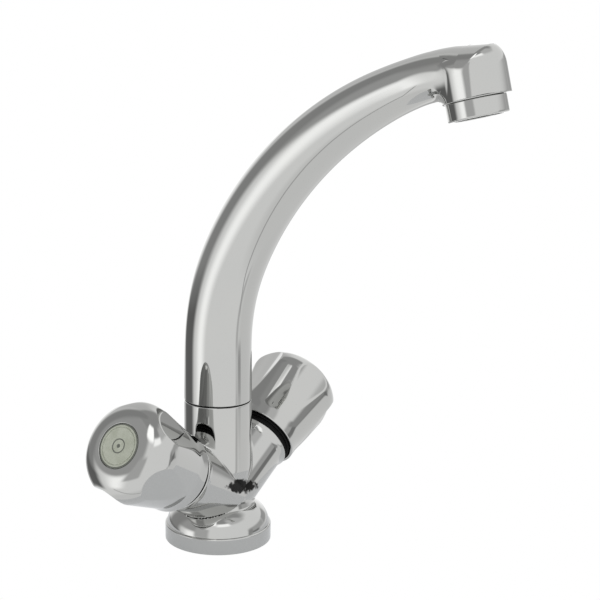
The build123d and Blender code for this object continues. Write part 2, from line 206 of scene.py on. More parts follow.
def rounded(corners: list[Triple], step: float = 0.5) -> Grid:
    """Outline through corners, each rounded by an arc that touches both of its runs.

    Args:
        corners: Radius, height and rounding of each, with rounding 0 to keep it sharp.
        step: Longest run between points.

    Returns:
        Points along the outline.
    """
    straight = 0.01
    places, rounds = np.array(corners, float)[:, :2], np.array(corners, float)[:, 2]
    line = [places[:1]]
    for index in range(1, len(places) - 1):
        before = unit(places[index - 1] - places[index])
        after = unit(places[index + 1] - places[index])
        half = math.acos(np.clip(before @ after, -1, 1)) / 2
        if rounds[index] <= 0 or half > math.pi / 2 - straight:
            line.append(places[index:index + 1])
            continue
        back = rounds[index] / math.tan(half)
        centre = places[index] + unit(before + after) * rounds[index] / math.sin(half)
        start = places[index] + before * back - centre
        end = places[index] + after * back - centre
        share = np.linspace(0, 1, ARC_POINTS)[:, None]
        spread = math.pi - 2 * half
        turned = np.sin((1 - share) * spread) * start + np.sin(share * spread) * end
        line.append(centre + turned / math.sin(spread))
    line.append(places[-1:])
    return divided(np.concatenate(line), step)


def divided(line: Grid, step: float) -> Grid:
    """Adds points to an outline so that no run is longer than the step.

    Args:
        line: Points of the outline.
        step: The longest run.

    Returns:
        The same outline with more points.
    """
    pieces = []
    for start, end in zip(line, line[1:]):
        count = max(1, math.ceil(np.linalg.norm(end - start) / step))
        pieces.append(start + (end - start) * np.linspace(0, 1, count, endpoint=False)[:, None])
    return np.concatenate([*pieces, line[-1:]])


def bulged(start: Pair, end: Pair, rise: float, count: int) -> Grid:
    """Arc between two points that stands a rise away from their chord, to its right seen from the start.

    Args:
        start: First point.
        end: Last point.
        rise: Height of the arc over its chord.
        count: How many points.

    Returns:
        Points on the arc.
    """
    first, last = np.array(start, float), np.array(end, float)
    half = np.linalg.norm(last - first) / 2
    along = (last - first) / (2 * half)
    out = np.array([along[1], -along[0]])
    radius = (half ** 2 + rise ** 2) / (2 * rise)
    spread = math.asin(half / radius)
    angles = np.linspace(-spread, spread, count)[:, None]
    centre = (first + last) / 2 + out * (rise - radius)
    return centre + radius * (np.sin(angles) * along + np.cos(angles) * out)


def grid_normals(points: Grid, middles: Grid) -> Grid:
    """Normals of a grid that closes round its second axis: the cross product of its two slopes.

    Args:
        points: Rows by columns of points.
        middles: A point inside each row, which the normals point away from.

    Returns:
        One outward unit normal for each point.
    """
    down = np.gradient(points, axis=0)
    aside = np.roll(points, -1, axis=1) - np.roll(points, 1, axis=1)
    normals = unit(np.cross(aside, down))
    outward = (normals * (points - middles[:, None])).sum() > 0
    return normals if outward else -normals


def cells(rows: int, columns: int) -> Grid:
    """Cells of a grid that closes round its second axis.

    Args:
        rows: Its rows.
        columns: Its columns.

    Returns:
        The numbers of each cell's four corners, in turn.
    """
    index = np.arange(rows * columns).reshape(rows, columns)
    follow = np.roll(index, -1, axis=1)
    return np.stack([index[:-1], follow[:-1], follow[1:], index[1:]], axis=-1).reshape(-1, 4)


def placed(name: str, data: bpy.types.ID) -> bpy.types.Object:
    """Makes an object and puts it in the scene.

    Args:
        name: Its name.
        data: Its mesh or camera.

    Returns:
        The object.
    """
    made = bpy.data.objects.new(name, data)
    bpy.context.scene.collection.objects.link(made)
    return made


@dataclass(frozen=True)
class Place:
    """A frame: an origin and three axes, the third one along the piece's own axis."""

    origin: Triple
    across: Triple
    along: Triple

    def axes(self) -> Grid:
        """The three axes as rows."""
        return np.array([self.across, np.cross(self.along, self.across), self.along])

    def out(self, points: Grid) -> Grid:
        """Points of this frame in the shared one."""
        return np.array(self.origin) + points @ self.axes()

    def into(self, points: Grid) -> Grid:
        """Points of the shared frame in this one."""
        return (points - np.array(self.origin)) @ self.axes().T

    def turned(self, outline: Grid, columns: int = 192) -> tuple[Grid, Grid]:
        """Surface of revolution about this frame's axis.

        Args:
            outline: (radius, height) points, with the outside on the right of its direction.
            columns: Steps round the axis.

        Returns:
            The grid, and its normals, which stand square to the outline's slope.
        """
        angles = round_angles(columns)
        grid = around(outline[:, :1], outline[:, 1:], angles)
        along = unit(np.gradient(outline, axis=0))
        return self.out(grid), around(along[:, 1:], -along[:, :1], angles) @ self.axes()


UPRIGHT = Place((0, 0, 0), (1, 0, 0), (0, 0, 1))


@dataclass
class Shell:
    """A mesh put together from grids and from chosen triangles of a CAD node, with its own normals."""

    name: str
    points: list[Grid] = field(default_factory=list)
    triangles: list[Grid] = field(default_factory=list)
    normals: list[Grid] = field(default_factory=list)
    total: int = 0

    def add_grid(self, points: Grid, normals: Grid) -> None:
        """Adds a grid that closes round its second axis, as two triangles a cell.

        Args:
            points: Rows by columns of points.
            normals: One outward normal for each.
        """
        corners = cells(*points.shape[:2])
        faces = np.concatenate([corners[:, :3], corners[:, [0, 2, 3]]])
        flat, lean = points.reshape(-1, 3), normals.reshape(-1, 3)
        start, left, right = (flat[faces[:, corner]] for corner in range(3))
        facing = np.cross(left - start, right - start)
        if (facing * lean[faces].mean(axis=1)).sum() < 0:
            faces = faces[:, ::-1]
        self._add(flat, faces, lean[faces])

    def add_node(self, node: str, keep: Callable[[Grid], Grid]) -> None:
        """Adds the triangles of a CAD node whose middles pass a test, with its own shading.

        Args:
            node: Name of the CAD node.
            keep: Takes the middles in millimetres and says which stay.
        """
        mesh = frame["nodes"][node].data
        mesh.calc_loop_triangles()
        count = len(mesh.loop_triangles)
        corners = np.zeros(count * 3, np.int32)
        loops = np.zeros(count * 3, np.int32)
        mesh.loop_triangles.foreach_get("vertices", corners)
        mesh.loop_triangles.foreach_get("loops", loops)
        places = np.zeros(len(mesh.vertices) * 3, np.float32)
        mesh.vertices.foreach_get("co", places)
        shading = np.zeros(len(mesh.loops) * 3, np.float32)
        mesh.corner_normals.foreach_get("vector", shading)
        flat = places.reshape(-1, 3).astype(float) / MM
        faces = corners.reshape(-1, 3)
        kept = keep(flat[faces].mean(axis=1))
        self._add(flat, faces[kept], shading.reshape(-1, 3)[loops.reshape(-1, 3)[kept]].astype(float))

    def _add(self, points: Grid, faces: Grid, corner_normals: Grid) -> None:
        """Adds loose triangles.

        Args:
            points: Their points.
            faces: Three point numbers each.
            corner_normals: Three normals each.
        """
        self.points.append(points)
        self.triangles.append(faces + self.total)
        self.normals.append(corner_normals)
        self.total += len(points)

    def build(self, finish: Material, slot: str, body: str, node: str) -> None:
        """Makes the object, with points in the same ten thousandth of a millimetre joined.

        Triangles that this makes flat are dropped.

        Args:
            finish: Its material.
            slot: The record's material slot; not used.
            body: The body it rides on.
            node: The CAD node it stands for.
        """
        points = np.concatenate(self.points)
        faces = np.concatenate(self.triangles)
        normals = np.concatenate(self.normals)
        near = np.round(points, POINT_DECIMALS)
        _, first, where = np.unique(near, axis=0, return_index=True, return_inverse=True)
        faces = where.reshape(-1)[faces]
        whole = (faces != np.roll(faces, -1, axis=1)).all(axis=1)
        used, faces = np.unique(faces[whole], return_inverse=True)
        faces = faces.reshape(-1, 3)
        places = points[first][used] * MM
        mesh = bpy.data.meshes.new(self.name)
        mesh.vertices.add(len(places))
        mesh.vertices.foreach_set("co", places.astype(np.float32).ravel())
        mesh.loops.add(len(faces) * 3)
        mesh.loops.foreach_set("vertex_index", faces.astype(np.int32).ravel())
        mesh.polygons.add(len(faces))
        mesh.polygons.foreach_set("loop_start", np.arange(0, len(faces) * 3, 3, dtype=np.int32))
        mesh.update(calc_edges=True)
        mesh.normals_split_custom_set(normals[whole].reshape(-1, 3))
        mesh.materials.append(finish)
        piece = placed(self.name, mesh)
        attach(piece, body)
        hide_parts(node)
        log.info("%s: %d triangles on %s", self.name, len(faces), body)


class Value:
    """A number socket in a node tree, so that sums written in Python become Math nodes."""

    def __init__(self, nodes: "Nodes", socket: Socket) -> None:
        """Keeps the tree's builder and the socket."""
        self.nodes = nodes
        self.socket = socket

    def _maths(self, operation: str, first: "Value | float", second: "Value | float") -> "Value":
        """Adds one Math node."""
        made = self.nodes.add("ShaderNodeMath", {"operation": operation}, {0: first, 1: second})
        return Value(self.nodes, made.outputs[0])

    def __add__(self, other: "Value | float") -> "Value":
        """Sum."""
        return self._maths("ADD", self, other)

    __radd__ = __add__

    def __sub__(self, other: "Value | float") -> "Value":
        """Difference."""
        return self._maths("SUBTRACT", self, other)

    def __rsub__(self, other: float) -> "Value":
        """Difference from a number."""
        return self._maths("SUBTRACT", other, self)

    def __mul__(self, other: "Value | float") -> "Value":
        """Product."""
        return self._maths("MULTIPLY", self, other)

    __rmul__ = __mul__

    def greatest(self, other: "Value | float") -> "Value":
        """Greater of the two."""
        return self._maths("MAXIMUM", self, other)

    def angle_from(self, other: "Value") -> "Value":
        """Angle whose tangent is this over the other."""
        return self._maths("ARCTAN2", self, other)

    def rises(self, low: float, high: float) -> "Value":
        """Goes smoothly from 0 to 1 while this one goes from low to high."""
        return self._span(low, high, 0.0, 1.0)

    def falls(self, low: float, high: float) -> "Value":
        """Goes smoothly from 1 to 0 while this one goes from low to high."""
        return self._span(low, high, 1.0, 0.0)

    def _span(self, low: float, high: float, first: float, last: float) -> "Value":
        """Goes smoothly from one value to another over a span of this one.

        Args:
            low: Where the change starts.
            high: Where it ends.
            first: Value at the start.
            last: Value at the end.

        Returns:
            The changed value.
        """
        made = self.nodes.add(
            "ShaderNodeMapRange", {"interpolation_type": "SMOOTHSTEP"},
            {"Value": self, "From Min": low, "From Max": high, "To Min": first, "To Max": last},
        )
        return Value(self.nodes, made.outputs["Result"])


class Nodes:
    """Builds the node tree of a material or of the world."""

    def __init__(self, owner: Material | bpy.types.World) -> None:
        """Empties the owner's tree."""
        owner.use_nodes = True
        self.tree = owner.node_tree
        self.tree.nodes.clear()

    def add(self, kind: str, settings: dict | None = None, inputs: dict | None = None) -> bpy.types.Node:
        """Adds a node.

        Args:
            kind: Its type.
            settings: Attributes, which are set first.
            inputs: Values or links of its sockets, by name or number.

        Returns:
            The node.
        """
        made = self.tree.nodes.new(kind)
        for key, value in (settings or {}).items():
            setattr(made, key, value)
        for key, value in (inputs or {}).items():
            socket = value.socket if isinstance(value, Value) else value
            if isinstance(socket, Socket):
                self.tree.links.new(socket, made.inputs[key])
            else:
                made.inputs[key].default_value = socket
        return made

    def end(self, kind: str, surface: bpy.types.Node) -> None:
        """Adds the output node."""
        self.add(kind, None, {"Surface": surface.outputs[0]})

    def paint(self, inputs: dict) -> None:
        """Ends a material in a Principled shader with these inputs."""
        self.end("ShaderNodeOutputMaterial", self.add("ShaderNodeBsdfPrincipled", None, inputs))

    def value(self, socket: Socket) -> Value:
        """Wraps an output."""
        return Value(self, socket)

    def place(self) -> Socket:
        """Object coordinates."""
        return self.add("ShaderNodeTexCoord").outputs["Object"]

    def vector(self, operation: str, *inputs: Triple | Socket) -> bpy.types.Node:
        """Adds one Vector Math node."""
        return self.add("ShaderNodeVectorMath", {"operation": operation}, dict(enumerate(inputs)))

    def dot(self, way: Socket, axis: Triple) -> Value:
        """Part of a vector along an axis."""
        return self.value(self.vector("DOT_PRODUCT", way, axis).outputs["Value"])

    def noise(self, size: float, detail: float, stretch: Triple = (1, 1, 1)) -> Value:
        """Noise of a given grain.

        Args:
            size: Width of its blots in millimetres.
            detail: Octaves.
            stretch: Factor on each axis.

        Returns:
            A value about one half.
        """
        scaled = self.add("ShaderNodeMapping", None, {"Vector": self.place(), "Scale": stretch})
        grain = {"Vector": scaled.outputs[0], "Scale": 1 / (size * MM), "Detail": detail}
        return self.value(self.add("ShaderNodeTexNoise", None, grain).outputs["Fac"])

    def mix(self, share: Value | float, first: Triple | Socket, second: Triple | Socket) -> Socket:
        """Mixes two colours.

        Args:
            share: 0 for the first, 1 for the second.
            first: One colour.
            second: The other.

        Returns:
            The mixed colour.
        """
        inputs = {"Factor": share}
        for key, colour in ((MIX_FIRST, first), (MIX_SECOND, second)):
            inputs[key] = colour if isinstance(colour, Socket) else (*colour, 1)
        return self.add("ShaderNodeMix", {"data_type": "RGBA"}, inputs).outputs[MIX_RESULT]

    def bump(self, height: Value, depth: float) -> Socket:
        """Bump of a depth in millimetres."""
        made = self.add("ShaderNodeBump", None, {"Height": height, "Strength": 1.0, "Distance": depth * MM})
        return made.outputs[0]


@dataclass(frozen=True)
class Finish:
    """A surface finish of the plain parts, dressed as one material."""

    name: str
    colour: Triple
    second: Triple
    metal: float
    gloss: Pair
    grain: float
    relief: float
    shine: float = 0.5
    cloud_grains: float = 12.0
    cloud_edge: Pair = (0.35, 0.65)

    def dress(self) -> Material:
        """Makes the material: two colours and two roughnesses mixed by noise, and a fine relief.

        Returns:
            The material.
        """
        made = bpy.data.materials.new(self.name)
        nodes = Nodes(made)
        cloud = nodes.noise(self.grain * self.cloud_grains, detail=3).rises(*self.cloud_edge)
        fine = nodes.noise(self.grain, detail=4)
        low, high = self.gloss
        nodes.paint({
            "Base Color": nodes.mix(cloud, self.colour, self.second),
            "Metallic": self.metal,
            "Roughness": low + (fine * 0.5 + cloud * 0.5) * (high - low),
            "Specular IOR Level": self.shine,
            "Normal": nodes.bump(fine, self.relief),
        })
        return made


@dataclass(frozen=True)
class Chrome:
    """Polished chrome plate over a casting: a slightly wavy mirror with faint dried drops and smears, and
    painted shade in the front corner between the arms.
    """

    name: str = "chrome"
    colour: Triple = (0.49, 0.49, 0.475)
    shade: Triple = (0.46, 0.465, 0.46)
    shade_size: float = 40.0
    polish: float = 0.035
    smear: float = 0.05
    wave: float = 0.012
    wave_size: float = 9.0
    wipe_size: float = 14.0
    wipe_stretch: Triple = (1, 1, 0.3)
    wipe_edge: Pair = (0.45, 0.75)
    wipe_share: float = 0.5
    drop_size: float = 5.0
    drop_line: float = 0.03
    patch_size: float = 30.0
    patch_edge: Pair = (0.58, 0.7)
    # Painted shade: a near-black colour, and a rougher finish, laid over the plate in the front corner
    # between the arms.
    painted_shade: Triple = (0.006, 0.006, 0.0055)
    painted_shade_cover: float = 0.98
    painted_shade_rough: float = 0.5
    painted_shade_middle: Triple = (-2.0, -16.4, 29.7)
    painted_shade_along: Triple = (0.959, 0.0, -0.282)
    painted_shade_half: Triple = (16.0, 4.0, 4.0)
    painted_shade_size: float = 3.2
    painted_shade_ragged: float = 1.7
    painted_shade_edge: Pair = (0.4, 0.8)

    def _painted_shade(self, nodes: Nodes) -> Value:
        """Painted shade in the front corner between the arms: a dark patch from the squares of three
        distances, and noise.

        Args:
            nodes: Builder of the material's nodes.

        Returns:
            1 in the corner, 0 elsewhere, with a ragged edge.
        """
        middle = tuple(value * MM for value in self.painted_shade_middle)
        away = nodes.vector("SUBTRACT", nodes.place(), middle).outputs[0]
        long, short, deep = (half * MM for half in self.painted_shade_half)
        x, _, z = self.painted_shade_along
        along = nodes.dot(away, (x / long, 0, z / long))
        across = nodes.dot(away, (-z / short, 0, x / short))
        depth = nodes.dot(away, (0, 1 / deep, 0))
        ragged = (nodes.noise(self.painted_shade_size, detail=2) - 0.5) * self.painted_shade_ragged
        size = along * along + across * across + depth * depth + ragged
        return size.falls(*self.painted_shade_edge)

    def _film(self, nodes: Nodes) -> Value:
        """Rings of dried drops in a few patches, and wiped smears: the greater of the two.

        Args:
            nodes: Builder of the material's nodes.

        Returns:
            1 where the film is thickest, 0 where the plate is clean.
        """
        inputs = {"Vector": nodes.place(), "Scale": 1 / (self.drop_size * MM)}
        drops = nodes.add("ShaderNodeTexVoronoi", {"feature": "DISTANCE_TO_EDGE"}, inputs)
        ring = nodes.value(drops.outputs["Distance"]).falls(0.0, self.drop_line)
        patch = nodes.noise(self.patch_size, detail=2).rises(*self.patch_edge)
        wipe = nodes.noise(self.wipe_size, 5, self.wipe_stretch).rises(*self.wipe_edge)
        return (ring * patch).greatest(wipe * self.wipe_share)

    def dress(self) -> Material:
        """Makes the material.

        Returns:
            The material.
        """
        made = bpy.data.materials.new(self.name)
        nodes = Nodes(made)
        painted_shade = self._painted_shade(nodes)
        plate = nodes.mix(nodes.noise(self.shade_size, detail=2), self.colour, self.shade)
        nodes.paint({
            # Painted shade: the base colour goes near black in the front corner between the arms.
            "Base Color": nodes.mix(painted_shade * self.painted_shade_cover, plate, self.painted_shade),
            "Metallic": 1.0,
            "Roughness": self.polish + self._film(nodes) * self.smear + painted_shade * self.painted_shade_rough,
            "Normal": nodes.bump(nodes.noise(self.wave_size, detail=1), self.wave),
        })
        return made


@dataclass(frozen=True)
class DiscFace:
    """Glossy pale plastic of the index discs, a little cloudy, with a plain ring and dot in its middle."""

    name: str
    middle: Triple
    along: Triple
    colour: Triple = (0.42, 0.44, 0.37)
    shade: Triple = (0.35, 0.37, 0.30)
    cloud_size: float = 5.0
    cloud_edge: Pair = (0.3, 0.7)
    ink: Triple = (0.06, 0.065, 0.055)
    ink_cover: float = 0.88
    ring: float = 3.4
    line: float = 0.42
    dot: float = 1.0
    blur: float = 0.15
    rim: float = 9.7
    rim_blur: float = 0.1
    polish: float = 0.22
    dull: float = 0.14
    grain: float = 1.5
    coat: float = 0.4
    relief: float = 0.06

    def dress(self) -> Material:
        """Makes the material, with the ring and dot drawn by distance from the knob's axis.

        That distance is the length of the cross product of the place and the axis. A dark line
        also runs round the disc's rim.

        Returns:
            The material.
        """
        made = bpy.data.materials.new(self.name)
        nodes = Nodes(made)
        to_axis = nodes.vector("SUBTRACT", nodes.place(), self.middle).outputs[0]
        crossed = nodes.vector("CROSS_PRODUCT", to_axis, self.along).outputs[0]
        radius = nodes.value(nodes.vector("LENGTH", crossed).outputs["Value"]) * (1 / MM)
        inner = radius.rises(self.ring - self.line - self.blur, self.ring - self.line)
        outer = radius.falls(self.ring, self.ring + self.blur)
        spot = radius.falls(self.dot - self.blur, self.dot)
        edge = radius.rises(self.rim - self.rim_blur, self.rim + self.rim_blur)
        mark = (inner * outer).greatest(spot).greatest(edge)
        cloud = nodes.noise(self.cloud_size, detail=3).rises(*self.cloud_edge)
        ground = nodes.mix(cloud, self.colour, self.shade)
        nodes.paint({
            "Base Color": nodes.mix(mark * self.ink_cover, ground, self.ink),
            "Roughness": self.polish + nodes.noise(self.grain, detail=3) * self.dull,
            "Coat Weight": self.coat,
            "Normal": nodes.bump(1 - mark, self.relief),
        })
        return made


@dataclass
class Arm:
    """One arm's frame and the sizes that the body and the knob share."""

    side: Side
    cross_height: float = 22.4
    angle: float = 59.5
    radius: float = 16.4
    flare: float = 32.5
    flare_power: float = 1.5
    end_radius: float = 17.7
    end: float = 37.2
    edge: float = 0.6
    bore: float = 10.45

    def place(self) -> Place:
        """Frame at the crossing of the axes with its third axis out along the arm."""
        sideways = self.side.value * math.sin(math.radians(self.angle))
        return Place((0, 0, self.cross_height), (0, 1, 0), (sideways, 0, math.cos(math.radians(self.angle))))

    def thickness(self, along: Grid) -> Grid:
        """Radius at each distance along the arm: straight, then a short flare."""
        share = np.clip((along - self.flare) / (self.end - self.flare), 0, 1)
        return self.radius + (self.end_radius - self.radius) * share ** self.flare_power

    def distance(self, points: Grid) -> Grid:
        """Signed distance: from the axis, less the radius."""
        local = self.place().into(points)
        return np.hypot(local[..., 0], local[..., 1]) - self.thickness(local[..., 2])

    def outward(self, points: Grid) -> Grid:
        """Direction away from the arm's axis.

        Args:
            points: Where it is wanted.

        Returns:
            One unit vector for each point.
        """
        local = self.place().into(points)
        local[..., 2] = 0
        return unit(local) @ self.place().axes()


@dataclass
class Body:
    """Flange, bell, column and arms: one casting with soft fillets where the round forms meet."""

    flange_radius: float = 26.3
    flange_height: float = 8.0
    flange_edge: float = 0.9
    bell_radius: float = 17.4
    bell_height: float = 18.1
    bell_bulge: float = 1.8
    bell_lean: float = 0.75
    neck: float = 3.0
    neck_round: float = 6.0
    column_radius: float = 16.5
    column_top: float = 70.7
    column_edge: float = 0.5
    bore: float = 12.0
    waist: float = 0.8
    waist_height: float = 30.0
    waist_span: float = 9.0
    fillet: float = 2.2
    plain_top: float = 15.0
    plain_rim: float = 0.5
    columns: int = 288
    ray_depth: float = 1.5
    ray: float = 8.5
    arm_overlap: float = 3.0
    arm_rows: int = 76
    arm_columns: int = 240
    arm_ray: float = 24.0
    flare_rows: int = 8
    wall: float = 0.15
    arms: tuple[Arm, Arm] = field(default_factory=lambda: (Arm(Side.HOT), Arm(Side.COLD)))

    def outline(self) -> Grid:
        """Outline of the turned part. The flange's rounding is just short of its edge's full width.

        Returns:
            (radius, height) points from the flange's foot to the column's bore.
        """
        shoulder = self.flange_radius - self.flange_edge
        rim = rounded([
            (self.flange_radius, 0, 0),
            (self.flange_radius, self.flange_height, self.flange_edge * 0.98),
            (shoulder, self.flange_height, 0),
        ], step=0.7)
        bell = bulged(
            (shoulder, self.flange_height), (self.bell_radius, self.bell_height), self.bell_bulge, count=28,
        )
        column = rounded([
            (self.bell_radius, self.bell_height, 0),
            (self.column_radius, self.bell_height + self.neck, self.neck_round),
            (self.column_radius, self.column_top, self.column_edge),
            (self.bore, self.column_top, 0),
        ], step=0.6)
        return np.concatenate([rim[:-1], bell[:-1], column])

    def turned_distance(self, points: Grid) -> Grid:
        """Signed distance of the turned part: radius less the outline's at that height, times its slope.

        Args:
            points: Where it is wanted.

        Returns:
            One distance for each point, with the column's flat top left out of the outline.
        """
        outline = self.outline()
        side = outline[outline[:, 0] > self.column_radius - self.column_edge + LEAST_WIDTH]
        side = side[np.argsort(side[:, 1], kind="stable")]
        height = points[..., 2]
        radius = np.interp(height, side[:, 1], side[:, 0])
        radius = radius - self.waist * smooth_step(1 - np.abs(height - self.waist_height) / self.waist_span)
        bell = (self.flange_height, self.bell_height, self.bell_height + 1)
        lean = np.interp(height, bell, (self.bell_lean, self.bell_lean, 1))
        return (np.hypot(points[..., 0], points[..., 1]) - radius) * lean

    def arms_distance(self, points: Grid) -> Grid:
        """Signed distance of both arms, which meet in the middle plane."""
        return np.where(points[..., 0] < 0, self.arms[0].distance(points), self.arms[1].distance(points))

    def rest_distance(self, points: Grid) -> Grid:
        """Signed distance of all of it without fillets."""
        return np.minimum(self.turned_distance(points), self.arms_distance(points))

    def blend(self, points: Grid) -> Grid:
        """Both together, with a fillet that fades where the two surfaces run alongside each other.

        Args:
            points: Where it is wanted.

        Returns:
            One signed distance for each point.
        """
        hot, cold = (arm.outward(points) for arm in self.arms)
        out = np.where(points[..., :1] < 0, hot, cold)
        away = unit(points * np.array([1, 1, 0]))
        angle = 1 - (out * away).sum(axis=-1)
        width = np.maximum(self.fillet * angle, LEAST_WIDTH)
        return smooth_min(self.turned_distance(points), self.arms_distance(points), width)

    def build(self, finish: Material) -> None:
        """Makes the casting: the turned part, both arms, and the bores from the CAD node.

        Args:
            finish: Its material.
        """
        shell = Shell("mixer_body")
        outline = self.outline()
        surface, normals = UPRIGHT.turned(outline, self.columns)
        near = outline[:, 1] < self.column_top - self.plain_top
        starts = surface[near] - normals[near] * self.ray_depth
        points, leans = skin(
            self.turned_distance, self.arms_distance, self.blend, starts, normals[near], self.ray,
        )
        rim = outline[near, 1] < self.flange_height + self.plain_rim
        points[rim], leans[rim] = surface[near][rim], normals[near][rim]
        shell.add_grid(np.concatenate([points, surface[~near]]), np.concatenate([leans, normals[~near]]))
        for arm in self.arms:
            self._arm(shell, arm)
        shell.add_node("body_casting", self._inner)
        shell.build(finish, "chrome", "body", "body_casting")

    def _arm(self, shell: Shell, arm: Arm) -> None:
        """Adds one arm: rays square to its axis out to the blend, then its flare and rounded end.

        The end's own run takes the place of the flare's last two rows.

        Args:
            shell: The casting's mesh.
            arm: The arm.
        """
        place = arm.place()
        along = np.linspace(-self.arm_overlap, arm.flare, self.arm_rows)[:, None]
        angles = round_angles(self.arm_columns)
        starts = place.out(around(0 * along, along, angles))
        rays = np.broadcast_to(around(1, 0, angles) @ place.axes(), starts.shape)
        shell.add_grid(*skin(arm.distance, self.rest_distance, self.blend, starts, rays, self.arm_ray))
        flare = np.linspace(arm.flare, arm.end - arm.edge, self.flare_rows)
        rise = np.stack([arm.thickness(flare), flare], axis=-1)
        run_out, run = 0.3, 2
        end = rounded([
            (arm.end_radius - run_out, arm.end - run, 0),
            (arm.end_radius, arm.end, arm.edge),
            (arm.bore, arm.end, 0),
        ])
        shell.add_grid(*place.turned(np.concatenate([rise[:-2], end[3:]]), self.arm_columns))

    def _inner(self, points: Grid) -> Grid:
        """Which triangles of the CAD node belong to its underside, bores and sockets.

        Args:
            points: Their middles.

        Returns:
            True for those that stay.
        """
        deep = self.rest_distance(points) < -self.wall
        for arm in self.arms:
            deep &= arm.place().into(points)[:, 2] < arm.end - CLEAR
        deep &= points[:, 2] < self.column_top - CLEAR
        return deep | (points[:, 2] < LEAST_WIDTH)


@dataclass
class Spout:
    """Collar, bent tube and head."""

    foot: float = 71.3
    collar: float = 5.0
    collar_radius: float = 16.5
    collar_bore: float = 12.0
    edge: float = 0.4
    rise: float = 26.4
    low_radius: float = 104.8
    low_angle: float = 25.9
    high_radius: float = 162.6
    high_angle: float = 53.6
    soft: float = 22.0
    radii: tuple[float, ...] = (16.5, 15.8, 13.5, 10.5)
    wall: float = 1.2
    neck_back: float = 28.0
    neck_least: float = 10.3
    neck_soft: float = 1.2
    head_radius: float = 14.0
    head_inset: float = 1.2
    head_height: float = 20.5
    head_lean: float = 14.0
    head_forward: float = 1.0
    head_seam: float = 7.6
    head_bore: float = 11.6
    seam_edge: float = 0.4
    cap_height: float = 11.0
    cap_drop: float = 2.0
    cap_rise: float = 4.4
    cap_fall: float = 0.3
    crease: float = 0.7
    brow: float = 6.5
    brow_start: float = 5.0
    brow_span: float = 9.0
    stub: float = 2.0
    fillet: float = 5.0
    fillet_gain: float = 3.0
    fillet_top: Pair = (6.0, 8.0)
    fillet_back: Pair = (1.0, 4.0)
    joint: float = 45.0
    joint_step: float = 0.4
    joint_fade: float = 12.0
    columns: int = 192
    rows: int = 130
    joint_rows: int = 96
    tube_ray: float = 22.0
    head_rows: int = 130
    head_columns: int = 224
    head_eye: float = 16.5
    head_ray: float = 30.0

    def __post_init__(self) -> None:
        """Works out the lengths, the high bend's centre, and the frames of the head and its cap."""
        low, full = math.radians(self.low_angle), math.radians(self.low_angle + self.high_angle)
        self.end_lean = full
        self.low_end = self.rise + self.low_radius * low
        self.length = self.low_end + self.high_radius * math.radians(self.high_angle)
        self.bend_y = -self.low_radius * (1 - math.cos(low)) - self.high_radius * math.cos(low)
        self.bend_z = self.foot + self.rise + (self.low_radius - self.high_radius) * math.sin(low)
        end_y = self.bend_y + self.high_radius * math.cos(full)
        end_z = self.bend_z + self.high_radius * math.sin(full)
        self.end = np.array([0, end_y, end_z])
        lean, rise = math.radians(self.head_lean), math.radians(self.cap_rise)
        rim = self.end + np.array([0, -math.sin(lean), -math.cos(lean)]) * self.head_height
        self.head = Place(tuple(rim), (1, 0, 0), (0, math.sin(lean), math.cos(lean)))
        top = self.end - np.array([0, 0, self.cap_drop])
        self.cap = Place(tuple(top), (1, 0, 0), (0, -math.cos(rise), math.sin(rise)))

    def spine(self, distances: Grid) -> tuple[Grid, Grid]:
        """Centre line: its lean adds up a curvature that goes from 0 to one over each radius, eased.

        The line is then shifted to end at the head, and bent back to start at the foot.

        Args:
            distances: Increasing distances from the foot.

        Returns:
            The points and the lean from the vertical at each.
        """
        fine = np.linspace(0, self.length, 2401)
        first = smooth_step((fine - self.rise) / self.soft + 0.5) / self.low_radius
        change = smooth_step((fine - self.low_end) / self.soft + 0.5)
        curve = first + change * (1 / self.high_radius - 1 / self.low_radius)
        step = fine[1] - fine[0]
        lean = np.concatenate([[0], np.cumsum((curve[1:] + curve[:-1]) / 2 * step)])
        lean += self.end_lean - lean[-1]
        go = np.stack([0 * lean, -np.sin(lean), np.cos(lean)], axis=-1)
        line = np.concatenate([np.zeros((1, 3)), np.cumsum((go[1:] + go[:-1]) / 2 * step, axis=0)])
        line += self.end - line[-1]
        drift = line[0] - np.array([0, 0, self.foot])
        line -= drift * (1 - smooth_step(fine / self.low_end))[:, None]
        points = np.stack([np.interp(distances, fine, line[:, axis]) for axis in range(3)], axis=-1)
        return points, np.interp(distances, fine, lean)

    def section(self, distances: Grid) -> tuple[Grid, Grid, Grid]:
        """Half width, half height and drop of the tube's section.

        Args:
            distances: Distances from the foot.

        Returns:
            A cubic through the radii at the collar, the low bend's end, halfway on and the neck,
            which then widens smoothly into the head's rounded top.
        """
        neck = self.length - self.neck_back
        knots = (self.collar, self.low_end, (self.low_end + self.length) / 2, neck)
        cubic = np.polynomial.Polynomial.fit(knots, self.radii, 3)
        radius = cubic(np.clip(distances, self.collar, self.length))
        plain = smooth_max(radius, self.neck_least, self.neck_soft)
        share = smooth_step((distances - neck) / self.neck_back)
        wide = plain + (self.head_radius - self.head_inset - plain) * share
        tall = plain + (self.cap_height - plain) * share
        return wide, tall, self.cap_drop * share * share

    def tube_distance(self, points: Grid) -> Grid:
        """Signed distance of the tube near the head: an oval carried round its last bend, cut past its end.

        Args:
            points: Where it is wanted.

        Returns:
            One distance for each point.
        """
        y, z = points[..., 1] - self.bend_y, points[..., 2] - self.bend_z
        lean = np.arctan2(z, y)
        past = np.clip(lean, None, self.end_lean)
        across, up = np.sin(past), np.cos(past)
        height = y * up + z * across - self.high_radius
        along = self.low_end + self.high_radius * (past - math.radians(self.low_angle))
        wide, tall, drop = self.section(along)
        oval = np.hypot(points[..., 0] / wide, (height + drop) / tall)
        ahead = np.where(lean > self.end_lean, z * up - y * across, -1.0)
        return np.maximum((oval - 1) * np.minimum(wide, tall), ahead - self.stub)

